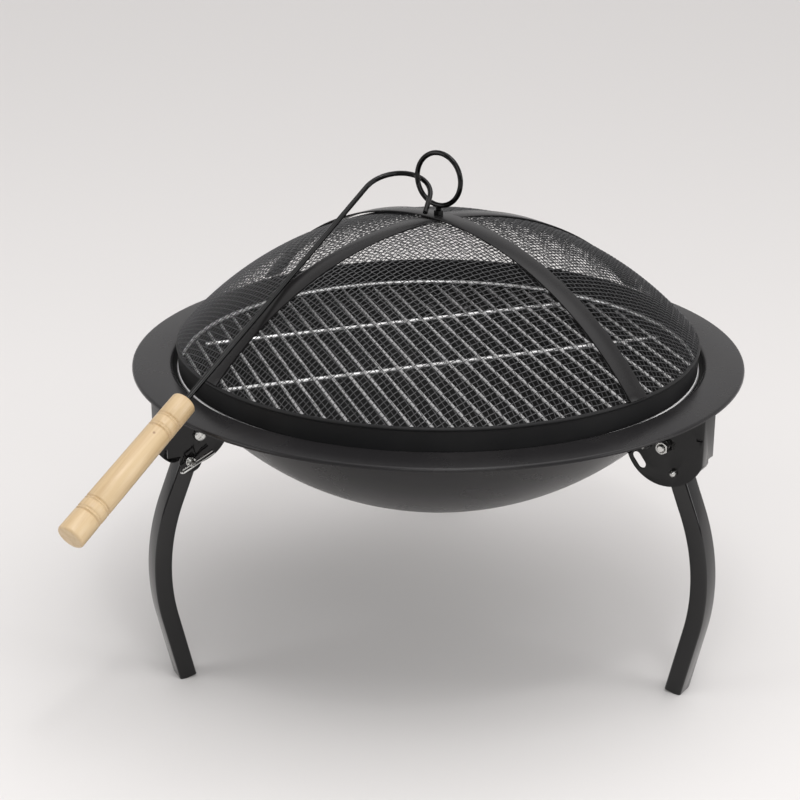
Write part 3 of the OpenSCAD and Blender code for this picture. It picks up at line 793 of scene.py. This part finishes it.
def pan_screw(sizes, seat, washer_height):
    """A screw with a domed head and a cross recess, its head up and its middle at the leg's middle."""
    shank, chamfer, taper, past_nut = sizes.screw_diameter / 2, 0.6 * MM, 0.8 * MM, 2.1 * MM
    head, rise, crown = 5.25 * MM, 3.2 * MM, 2.2 * MM
    end = seat + washer_height + sizes.nut_height + past_nut
    top = seat + rise
    outline = [(0, -end), (shank - chamfer, -end), (shank, taper - end), (shank, seat), (head, seat)]
    outline += arc((head - crown, top - crown), crown, 0, 80, steps=6)
    screw = lathe("pan_screw", outline + [(0, top)], steps=32)
    blade_size = Matrix.Diagonal((5.8 * MM, 1.3 * MM, 3.2 * MM, 1))
    for angle in (45, 135):
        deselect()
        bpy.ops.mesh.primitive_cube_add(size=1)
        blade = added("blade")
        place(blade, shift(0, 0, top) @ rotation(math.radians(angle), "Z") @ blade_size)
        cut(screw, blade)
    return screw


def spring_washer(sizes, height):
    """A split washer, spun not quite all the way round."""
    inner, outer = sizes.screw_diameter / 2 + 0.2 * MM, 5.2 * MM
    washer = rectangle("washer", outer - inner, height)
    place(washer, shift((inner + outer) / 2, 0, height / 2) @ rotation(QUARTER, "X"))
    edit(washer)
    sweep(math.radians(342), (0, 0, 0), UP, steps=40)
    tidy()
    round_edges(washer, width=0.25 * MM)
    return washer


def round_bolt(sizes):
    """A round-headed bolt for the bowl's wall, its head inside and its shank up."""
    shank, chamfer, end = sizes.screw_diameter / 2, 0.6 * MM, 9 * MM
    head, head_height, dome, rim = 6.5 * MM, 3 * MM, 8.5 * MM, 0.6 * MM
    clear = 0.13 * MM
    inside = -sizes.bowl_sheet - clear
    crown = inside - head_height
    outline = [(0, crown)] + arc((0, crown + dome), dome, -80, -50, steps=5)
    outline += [(head, inside - rim), (head, inside), (shank, inside), (shank, end - chamfer)]
    return lathe("round_bolt", outline + [(shank - chamfer, end), (0, end)], steps=28)


def bolt_places(sizes):
    """Where the brackets' bolts go through the bowl's wall, two at each leg, z outwards."""
    radius, centre = bowl_sphere(sizes)
    drop, aside = 31 * MM, 18.5 * MM
    below = centre - sizes.flange_top + drop
    dip = math.asin(below / radius)
    swing = math.asin(aside / math.sqrt(radius**2 - below**2))
    wall = shift(0, 0, centre) @ rotation(QUARTER + dip, "Y") @ shift(0, 0, radius)
    return [leg_matrix(side) @ rotation(way * swing, "Z") @ wall for side in SIDES for way in (-1, 1)]


class FIREPIT_OT_fasteners(bpy.types.Operator):
    """Turn the screws, nuts and spring washers that hold brackets and legs"""

    bl_idname = "firepit.fasteners"
    bl_label = "Screws and nuts"

    def execute(self, context):
        sizes, colours = settings(context)
        zinc = zinc_plate(colours)
        pivots = [leg_matrix(side) @ shift(*pivot_place()) for side in SIDES]
        outwards = [pivot @ rotation(-QUARTER, "X") for pivot in pivots]
        inwards = [pivot @ rotation(QUARTER, "X") for pivot in pivots]
        seat = sizes.cheek_out + SEAT_GAP
        washer_height = 1.6 * MM
        repeat("pivot_bolts", pan_screw(sizes, seat, washer_height), outwards, "zinc", zinc)
        washer = spring_washer(sizes, washer_height)
        place(washer, shift(0, 0, seat))
        repeat("pivot_washers", washer, inwards, "zinc", zinc)
        nut = common_nut(sizes, seat + washer_height + SEAT_GAP)
        repeat("pivot_nuts", nut, inwards, "zinc", zinc)
        walls = bolt_places(sizes)
        repeat("bracket_bolts", round_bolt(sizes), walls, "black_coat", leg_coat(colours))
        repeat("bracket_nuts", common_nut(sizes, level=1.6 * MM), walls, "zinc", zinc)
        return {"FINISHED"}


def turned_pin(sizes, collar, neck, end):
    """A pin with a rounded tip, a collar that stops it at the cheek and a slim neck for its clip."""
    shank, edge = sizes.screw_diameter / 2, 0.6 * MM
    slope, wide, slim = shank + 1.1 * MM, shank + 0.9 * MM, shank - 0.5 * MM
    tip, nose, round_centre, round_radius = -sizes.cheek_out - 2.4 * MM, 1.5 * MM, 1.6 * MM, shank + 0.1 * MM
    outline = [(0, tip - nose)] + arc((0, tip + round_centre), round_radius, -78, -30, steps=6)
    outline += [(shank, tip + edge), (shank, collar), (slope, collar)]
    outline += arc((wide, collar + edge), edge, 0, 90, steps=3)
    outline += [(wide, neck), (slim, neck), (slim, end - edge), (slim - edge, end), (0, end)]
    return lathe("pin", outline, steps=28)


def wire_clip(neck_length):
    """A hairpin of wire: one prong through the pin's neck, the other over its end."""
    wire, prong, clear = 1.8 * MM, 30 * MM, 0.3 * MM
    gap = neck_length / 2 + clear + wire
    tail = prong / 3
    clip = disc("clip", wire, shift(tail - prong, 0, 0) @ rotation(QUARTER, "Y"), sides=12)
    draw_out((prong, 0, 0))
    sweep(math.pi, (tail, gap / 2, 0), UP, steps=16)
    draw_out((-prong, 0, 0))
    round_ends(width=0.4 * MM, segments=2)
    tidy()
    return clip


class FIREPIT_OT_lock_pins(bpy.types.Operator):
    """Turn the lock pins and bend their wire clips"""

    bl_idname = "firepit.lock_pins"
    bl_label = "Lock pins"

    def execute(self, context):
        sizes, colours = settings(context)
        zinc = zinc_plate(colours)
        middle = shift(*(pivot_place() + lean_down(sizes.leg_top_lean) * sizes.lock_reach))
        collar = sizes.cheek_out + SEAT_GAP
        neck = collar + 2.2 * MM
        neck_length = 6 * MM
        pin = turned_pin(sizes, collar, neck, neck + neck_length)
        clip = wire_clip(neck_length)
        across = middle @ rotation(-QUARTER, "X")
        through = middle @ shift(0, neck + neck_length / 2, 0)
        for side, rise in (("left", 26), ("right", 68), ("rear", 26)):
            hung = through @ rotation(math.radians(rise), "Y")
            for model, node, matrix in ((pin, f"lock_pin_{side}", across), (clip, f"pin_clip_{side}", hung)):
                piece = twin(model, f"{node}_piece")
                place(piece, leg_matrix(side) @ matrix)
                fit(piece, f"pin_{side}", "zinc", zinc, node)
        for model in (pin, clip):
            bpy.data.objects.remove(model)
        return {"FINISHED"}


def straight_wire(matrix, offset, reach, diameter):
    """A straight wire with rounded ends, at some distance from the grid's middle."""
    half = math.sqrt(reach**2 - (abs(offset) + diameter / 2) ** 2)
    start, end = (matrix @ Vector((x, offset, 0)) for x in (-half, half))
    ahead = (end - start).to_track_quat("Z", "Y").to_matrix().to_4x4()
    piece = disc("wire", diameter, shift(*start) @ ahead, sides=12)
    draw_out(end - start)
    round_ends(diameter / 4, segments=2)
    tidy()
    return piece


class FIREPIT_OT_grid(bpy.types.Operator):
    """Weld the cooking grid out of a ring, parallel rods and cross bars"""

    bl_idname = "firepit.grid"
    bl_label = "Cooking grid"

    def execute(self, context):
        sizes, colours = settings(context)
        chrome = chrome_plate(colours)
        deselect()
        bpy.ops.mesh.primitive_torus_add(
            major_radius=RIM_RADIUS, minor_radius=RING_WIRE / 2, major_segments=192, minor_segments=16
        )
        ring = added("grid_ring_piece")
        place(ring, shift(0, 0, (RING_HIGH.z + RING_LOW.z) / 2))
        fit(ring, "grid", "chrome", chrome, "grid_ring")
        offsets = [way * (i + 0.5) * sizes.rod_pitch for i in range(sizes.rod_pairs) for way in (-1, 1)]
        along_rods = rotation(sizes.rod_turn + QUARTER, "Z") @ shift(0, 0, (ROD_HIGH.z + ROD_LOW.z) / 2)
        rods = [straight_wire(along_rods, at, RIM_RADIUS - RING_WIRE / 4, ROD_WIRE) for at in offsets]
        fit(join("grid_rods_piece", rods), "grid", "chrome", chrome, "grid_rods")
        along_bars = rotation(sizes.bar_turn, "Z") @ shift(0, 0, (BAR_HIGH.z + BAR_LOW.z) / 2)
        bar_reach = RIM_RADIUS - RING_WIRE - BAR_WIRE
        bars = [straight_wire(along_bars, at, bar_reach, BAR_WIRE) for at in (0, sizes.bar_step)]
        fit(join("grid_bars_piece", bars), "grid", "chrome", chrome, "grid_bars")
        return {"FINISHED"}


class FIREPIT_OT_lid_band(bpy.types.Operator):
    """Spin the lid's band with its wired edge"""

    bl_idname = "firepit.lid_band"
    bl_label = "Lid band"

    def execute(self, context):
        sizes, colours = settings(context)
        half, edge = sizes.band_sheet / 2, sizes.band_edge / 2
        inside, outside, foot = RIM_RADIUS - half, RIM_RADIUS + half, BAND_LOW.z
        chamfer = 0.3 * MM
        meet = math.degrees(math.acos(half / edge))
        outline = [(inside, foot + chamfer)]
        outline += arc((RIM_RADIUS, BAND_HIGH.z - edge), edge, meet - 180, -360 - meet, steps=20)
        outline += [(outside, foot + chamfer), (outside - chamfer, foot), (inside + chamfer, foot)]
        band = lathe("lid_band_piece", outline, steps=192, closed=True)
        fit(band, "lid", "black_coat", band_coat(colours), "lid_band")
        return {"FINISHED"}


def woven_wires(name, sizes, quarter):
    """All wires that run one way, as the pressed shape of a flat woven sheet."""
    radius, centre, rim = dome_sphere(sizes)
    reach, pitch, crimp = radius * rim, sizes.mesh_pitch, sizes.mesh_wire * 0.45
    heading = Matrix.Rotation(sizes.mesh_turn + quarter * QUARTER, 2)
    count = int(reach / pitch)
    deselect()
    bpy.ops.curve.primitive_bezier_curve_add()
    curve = added(name)
    curve.data.splines.clear()
    for i in range(-count, count + 1):
        half = math.sqrt(reach**2 - (i * pitch) ** 2)
        crossings = int(half / pitch)
        stops = [j / 2 for j in range(-2 * crossings, 2 * crossings + 1)]
        places = [-half / pitch] + stops + [half / pitch]
        spline = curve.data.splines.new("POLY")
        spline.points.add(len(places) - 1)
        for point, j in zip(spline.points, places):
            level = radius + math.cos(math.pi * j) * (-1) ** (i + quarter) * crimp
            flat = heading @ Vector((j * pitch, i * pitch))
            tilt = flat.length / radius
            out = flat.normalized() * math.sin(tilt) * level
            point.co = (out.x, out.y, centre + math.cos(tilt) * level, 1)
    curve.data.dimensions = "3D"
    curve.data.bevel_depth = sizes.mesh_wire / 2
    curve.data.bevel_resolution = 0
    curve.data.use_fill_caps = True
    bpy.ops.object.convert(target="MESH")
    return bpy.context.object


class FIREPIT_OT_lid_mesh(bpy.types.Operator):
    """Weave the dome's wires over and under each other"""

    bl_idname = "firepit.lid_mesh"
    bl_label = "Woven dome"

    def execute(self, context):
        sizes, colours = settings(context)
        for name, quarter in (("lid_mesh_warp", 0), ("lid_mesh_weft", 1)):
            piece = woven_wires(name, sizes, quarter)
            fit(piece, "lid", "black_coat", mesh_coat(colours), "lid_mesh", crease=60)
        return {"FINISHED"}


class FIREPIT_OT_straps(bpy.types.Operator):
    """Spin the two flat straps over the dome"""

    bl_idname = "firepit.straps"
    bl_label = "Straps"

    def execute(self, context):
        sizes, colours = settings(context)
        centre = dome_sphere(sizes)[1]
        sheet, half = sizes.strap_sheet, sizes.strap_width / 2
        lower = strap_seat(sizes)
        upper = lower + sheet + SEAT_GAP
        for node, bottom, heading in (
            ("strap_lower", lower, sizes.strap_lower_turn),
            ("strap_upper", upper, sizes.strap_upper_turn),
        ):
            middle = bottom + sheet / 2
            reach = math.acos((BAND_HIGH.z + SEAT_GAP - centre) / bottom)
            x, z = middle * math.sin(reach), centre + middle * math.cos(reach)
            strap = line(f"{node}_piece", [(x, y, z) for y in (-half, half)])
            sweep(-2 * reach, (0, 0, centre), ALONG_Y, steps=72)
            tidy()
            thicken(strap, sheet)
            round_edges(strap, width=0.35 * MM)
            place(strap, rotation(heading - QUARTER, "Z"))
            fit(strap, "lid", "black_coat", strap_coat(colours), node)
        return {"FINISHED"}


class FIREPIT_OT_ring(bpy.types.Operator):
    """Make the ring handle with its stem, nuts and washer"""

    bl_idname = "firepit.ring"
    bl_label = "Ring handle"

    def execute(self, context):
        sizes, colours = settings(context)
        level, shank = ring_level(sizes), sizes.ring_wire / 2
        bottom, top = HANDLE_LOW.z, level - sizes.ring_radius
        chamfer, point, flare, weld = 0.5 * MM, 0.7 * MM, 3 * MM, shank * 1.15
        stem = [(0, bottom), (shank - chamfer, bottom), (shank, bottom + point)]
        stem += [(shank, top - flare), (weld, top), (0, top)]
        handle = lathe("ring_handle_piece", stem, steps=32)
        deselect()
        bpy.ops.mesh.primitive_torus_add(
            major_radius=sizes.ring_radius, minor_radius=shank, major_segments=96, minor_segments=24
        )
        hoop = added("hoop")
        place(hoop, shift(0, 0, level) @ rotation(sizes.ring_turn, "Z") @ rotation(QUARTER, "X"))
        cut(handle, hoop, "UNION")
        fit(handle, "lid", "black_gloss", enamel(colours), "ring_handle", crease=50)
        for node, slot, material in (
            ("ring_top_nut", "black_gloss", enamel(colours)),
            ("ring_bottom_nut", "zinc", zinc_plate(colours)),
        ):
            low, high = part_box(node)
            nut = hex_nut(f"{node}_piece", high.y - low.y, high.z - low.z, sizes.ring_wire)
            place(nut, shift(0, 0, low.z))
            fit(nut, "lid", slot, material, node)
        washer = dressed_copy("ring_washer", rounding=0.25 * MM)
        fit(washer, "lid", "zinc", zinc_plate(colours), "ring_washer")
        return {"FINISHED"}


def grip_outline(sizes):
    """The turned grip from its butt to the rod: rounded ends, a slight taper and four double grooves."""
    butt, neck, reach = sizes.grip_diameter / 2, sizes.grip_neck / 2, sizes.grip_length
    edge, half, deep, shallow = 2.2 * MM, 1.05 * MM, 1.2 * MM, 0.8 * MM
    hole, hole_edge, hole_depth = sizes.rod_diameter / 2 + 0.2 * MM, 0.4 * MM, 6 * MM
    at_butt = [(21.8 * MM, deep), (24.4 * MM, shallow), (32.6 * MM, shallow), (35.2 * MM, deep)]
    at_neck = [(reach - middle, depth) for middle, depth in reversed(at_butt)]
    groove = ((-1.15, 0.0), (-0.95, 0.1), (-0.4, 0.8), (0.0, 1.0), (0.4, 0.8), (0.95, 0.1), (1.15, 0.0))
    outline = [(0, 0)] + arc((butt - edge, edge), edge, -90, 0, steps=6)
    for middle, depth in at_butt + at_neck:
        for x, y in groove:
            at = middle + half * x
            outline.append((butt + (neck - butt) * at / reach - depth * y, at))
    outline += arc((neck - edge, reach - edge), edge, 0, 90, steps=6)
    outline += [(hole + hole_edge, reach), (hole, reach - hole_edge)]
    return outline + [(hole, reach - hole_depth), (0, reach - hole_depth)]


class FIREPIT_OT_poker(bpy.types.Operator):
    """Bend the poker's rod into its hook and turn its wooden grip"""

    bl_idname = "firepit.poker"
    bl_label = "Poker"

    def execute(self, context):
        sizes, colours = settings(context)
        matrix = poker_matrix(sizes)
        along = rotation(QUARTER, "Y")
        inside_grip = 60 * MM
        run = sizes.rod_length + inside_grip
        rod = disc("poker_rod_piece", sizes.rod_diameter, shift(-run, 0, 0) @ along, sides=24)
        draw_out((run, 0, 0))
        sweep(sizes.hook_turn, (0, sizes.hook_radius, 0), UP, steps=48)
        draw_out(Vector((math.cos(sizes.hook_turn), math.sin(sizes.hook_turn), 0)) * sizes.hook_tip)
        round_ends(width=0.5 * MM)
        tidy()
        place(rod, matrix)
        fit(rod, "poker", "black_gloss", enamel(colours), "poker_rod", crease=50)
        grip = lathe("poker_grip_piece", grip_outline(sizes), steps=64)
        place(grip, matrix @ shift(-sizes.rod_length - sizes.grip_length, 0, 0) @ along)
        fit(grip, "poker", "beech", grip_wood(colours, matrix), "poker_grip", crease=45)
        return {"FINISHED"}


def aim(piece, at, target):
    """Turns a lamp or camera from its place to a target."""
    piece.rotation_euler = (Vector(target) - Vector(at)).to_track_quat("-Z", "Y").to_euler()


def pale_surround(stage, colours):
    """A pale world that is darker behind the camera and brighter overhead, a little to the right."""
    world = bpy.data.worlds.new("pale_surround")
    world.use_nodes = True
    tree = world.node_tree
    background = tree.nodes["Background"].inputs
    background["Color"].default_value = rgba(colours.surround)
    towards = add_node(tree, "TexCoord", {}, "Generated")
    depth = add_node(tree, "SeparateXYZ", {"Vector": towards}, "Y")
    overhead = (0.26, 0, 0.966)
    height = add_node(tree, "VectorMath", {0: towards, 1: overhead}, "Value", operation="DOT_PRODUCT")
    falloff = spread(tree, depth, -0.9, 0.3, 0.4 * stage.sky, stage.sky)
    rise = spread(tree, height, 0.75, 0.93, 0.8, stage.zenith)
    strength = add_node(tree, "Math", {0: falloff, 1: rise}, operation="MULTIPLY")
    feed(tree, strength, background["Strength"])
    return world


class FIREPIT_OT_stage(bpy.types.Operator):
    """Set the floor, the lights and the camera"""

    bl_idname = "firepit.stage"
    bl_label = "Stage"

    def execute(self, context):
        colours = context.scene.firepit_colours
        stage = context.scene.firepit_stage
        deselect()
        bpy.ops.mesh.primitive_circle_add(vertices=96, radius=7, fill_type="NGON")
        floor = added("floor")
        look = {"Base_Color": rgba(colours.floor), "Roughness": 0.75, "Specular_IOR_Level": 0.25}
        floor.data.materials.append(new_material("pale_floor", **look)[0])
        context.scene.world = pale_surround(stage, colours)
        for name, at, target, size, power in (
            ("overhead", (0.2, -1.0, 2.7), (0, -0.5, 0.1), 0.9, stage.key),
            ("small_overhead", (0.35, -1.2, 2.6), (0, 0, 0.3), 0.12, stage.glint),
            ("front_fill", (0.1, -1.9, 1.2), (0, -0.4, 0), 1.2, stage.front),
            ("left_side", (-3.0, -0.8, 1.5), (0, -0.3, 0.1), 1.6, stage.left),
            ("right_side", (3.0, -1.1, 1.1), (0, -0.3, 0.1), 1.6, stage.right),
        ):
            bpy.ops.object.light_add(type="AREA", location=at)
            lamp = added(name)
            lamp.data.size = size
            lamp.data.energy = power
            aim(lamp, at, target)
        bpy.ops.object.camera_add(location=stage.camera_place)
        camera = bpy.context.object
        aim(camera, stage.camera_place, stage.camera_target)
        camera.data.lens = stage.camera_lens
        camera.data.sensor_width = 36
        camera.data.clip_start = 0.05
        context.scene.camera = camera
        context.scene.view_settings.view_transform = "Standard"
        return {"FINISHED"}


class FIREPIT_PT_panel(bpy.types.Panel):
    """Lists the fire pit's pieces in the sidebar"""

    bl_idname = "FIREPIT_PT_panel"
    bl_label = "Fire Pit"
    bl_space_type = "VIEW_3D"
    bl_region_type = "UI"
    bl_category = "Fire Pit"

    def draw(self, context):
        for operator in OPERATORS:
            self.layout.operator(operator.bl_idname)
        for group in (*settings(context), context.scene.firepit_stage):
            box = self.layout.box()
            for name in group.__annotations__:
                box.prop(group, name)


OPERATORS = (
    FIREPIT_OT_stage,
    FIREPIT_OT_bowl,
    FIREPIT_OT_brackets,
    FIREPIT_OT_legs,
    FIREPIT_OT_fasteners,
    FIREPIT_OT_lock_pins,
    FIREPIT_OT_grid,
    FIREPIT_OT_lid_band,
    FIREPIT_OT_lid_mesh,
    FIREPIT_OT_straps,
    FIREPIT_OT_ring,
    FIREPIT_OT_poker,
)
CLASSES = (FirePitSizes, FirePitColours, FirePitStage, *OPERATORS, FIREPIT_PT_panel)


def register():
    for cls in CLASSES:
        bpy.utils.register_class(cls)
    bpy.types.Scene.firepit_sizes = PointerProperty(type=FirePitSizes)
    bpy.types.Scene.firepit_colours = PointerProperty(type=FirePitColours)
    bpy.types.Scene.firepit_stage = PointerProperty(type=FirePitStage)


def unregister():
    del bpy.types.Scene.firepit_stage
    del bpy.types.Scene.firepit_colours
    del bpy.types.Scene.firepit_sizes
    for cls in reversed(CLASSES):
        bpy.utils.unregister_class(cls)


def main():
    register()
    bpy.ops.firepit.stage()
    bpy.ops.firepit.bowl()
    bpy.ops.firepit.brackets()
    bpy.ops.firepit.legs()
    bpy.ops.firepit.fasteners()
    bpy.ops.firepit.lock_pins()
    bpy.ops.firepit.grid()
    bpy.ops.firepit.lid_band()
    bpy.ops.firepit.lid_mesh()
    bpy.ops.firepit.straps()
    bpy.ops.firepit.ring()
    bpy.ops.firepit.poker()


if __name__ == "__main__":
    main()
